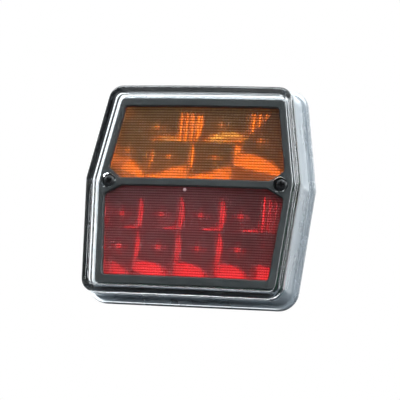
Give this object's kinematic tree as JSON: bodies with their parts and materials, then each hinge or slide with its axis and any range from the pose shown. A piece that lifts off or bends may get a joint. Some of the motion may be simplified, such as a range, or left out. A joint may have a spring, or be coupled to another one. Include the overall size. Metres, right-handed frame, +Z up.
{
  "type": "trailer tail light",
  "caption": "Surface-mounted LED rear lamp for a trailer: clear hexagonal cover, dark mask, amber and red lens, black base with mounting studs and a cable tail.",
  "frame": {"origin": "on the mounting face, midway between the two studs", "axes": "+Z is up as fitted, the lens faces -Y, +Y points out of the mounting face along the studs, +X is to the right when looking at the lens"},
  "size_m": [0.104, 0.077, 0.098],
  "materials": {
    "black_base": "glossy moulded black plastic",
    "clear_cover": "clear polished acrylic",
    "dark_mask": "fine matt charcoal",
    "amber_lens": "clear amber acrylic with small square prisms",
    "red_lens": "clear red acrylic with small square prisms",
    "metallised": "vacuum-metallised plastic",
    "board_green": "green solder mask",
    "board_white": "white solder mask",
    "led_amber": "white package with a yellow phosphor dome",
    "led_red": "white package with a red dome",
    "led_white": "white package with a pale dome",
    "chip_black": "moulded epoxy",
    "ceramic": "ceramic",
    "black_screw": "black-coated steel",
    "zinc": "bright zinc plating",
    "rubber_black": "soft matt rubber",
    "pvc_black": "satin cable sheath",
    "pvc_white": "satin wire insulation",
    "pvc_yellow": "satin wire insulation",
    "pvc_brown": "satin wire insulation",
    "pvc_red": "satin wire insulation",
    "copper": "bare stranded copper",
    "solder": "bright solder"
  },
  "bodies": {
    "root": {"base_housing": "black_base", "cover_seal": "rubber_black", "amber_reflector": "metallised", "red_reflector": "metallised", "circuit_board": "board_green", "amber_leds": "led_amber", "red_leds": "led_red", "resistors": "chip_black", "diodes": "chip_black", "capacitors": "ceramic", "regulator": "chip_black", "plate_light_board": "board_white", "plate_light_leds": "led_white", "board_screws": "zinc", "stud_left": "zinc", "stud_right": "zinc", "cable_grommet": "rubber_black", "cable_sheath": "pvc_black", "core_white": "pvc_white", "core_yellow": "pvc_yellow", "core_brown": "pvc_brown", "core_red": "pvc_red", "copper_conductors": "copper", "solder_joints": "solder"},
    "cover": {"outer_cover": "clear_cover", "mask_frame": "dark_mask", "amber_lens": "amber_lens", "red_lens": "red_lens", "screw_seals": "rubber_black"},
    "cover_screw_left": {"cover_screw_left": "black_screw"},
    "cover_screw_right": {"cover_screw_right": "black_screw"},
    "nut_left": {"nut_left": "zinc"},
    "nut_right": {"nut_right": "zinc"},
    "washers_left": {"flat_washer_left": "zinc", "spring_washer_left": "zinc"},
    "washers_right": {"flat_washer_right": "zinc", "spring_washer_right": "zinc"}
  },
  "joints": [
    {"name": "cover_lift", "type": "slide", "parent": "root", "child": "cover", "axis": [0, -1, 0], "range_m": [0, 0.03]},
    {"name": "cover_screw_left_turn", "type": "hinge", "parent": "cover", "child": "cover_screw_left", "pos_m": [-0.04015, -0.014, 0.0041], "axis": [0, -1, 0], "continuous": true},
    {"name": "cover_screw_right_turn", "type": "hinge", "parent": "cover", "child": "cover_screw_right", "pos_m": [0.04015, -0.014, 0.0041], "axis": [0, -1, 0], "continuous": true},
    {"name": "fastener_left_off", "type": "slide", "parent": "root", "child": "washers_left", "axis": [0, 1, 0], "range_m": [0, 0.05]},
    {"name": "fastener_right_off", "type": "slide", "parent": "root", "child": "washers_right", "axis": [0, 1, 0], "range_m": [0, 0.05]},
    {"name": "nut_left_turn", "type": "hinge", "parent": "washers_left", "child": "nut_left", "pos_m": [-0.0225, 0.011, 0], "axis": [0, 1, 0], "continuous": true},
    {"name": "nut_right_turn", "type": "hinge", "parent": "washers_right", "child": "nut_right", "pos_m": [0.0225, 0.011, 0], "axis": [0, 1, 0], "continuous": true}
  ]
}
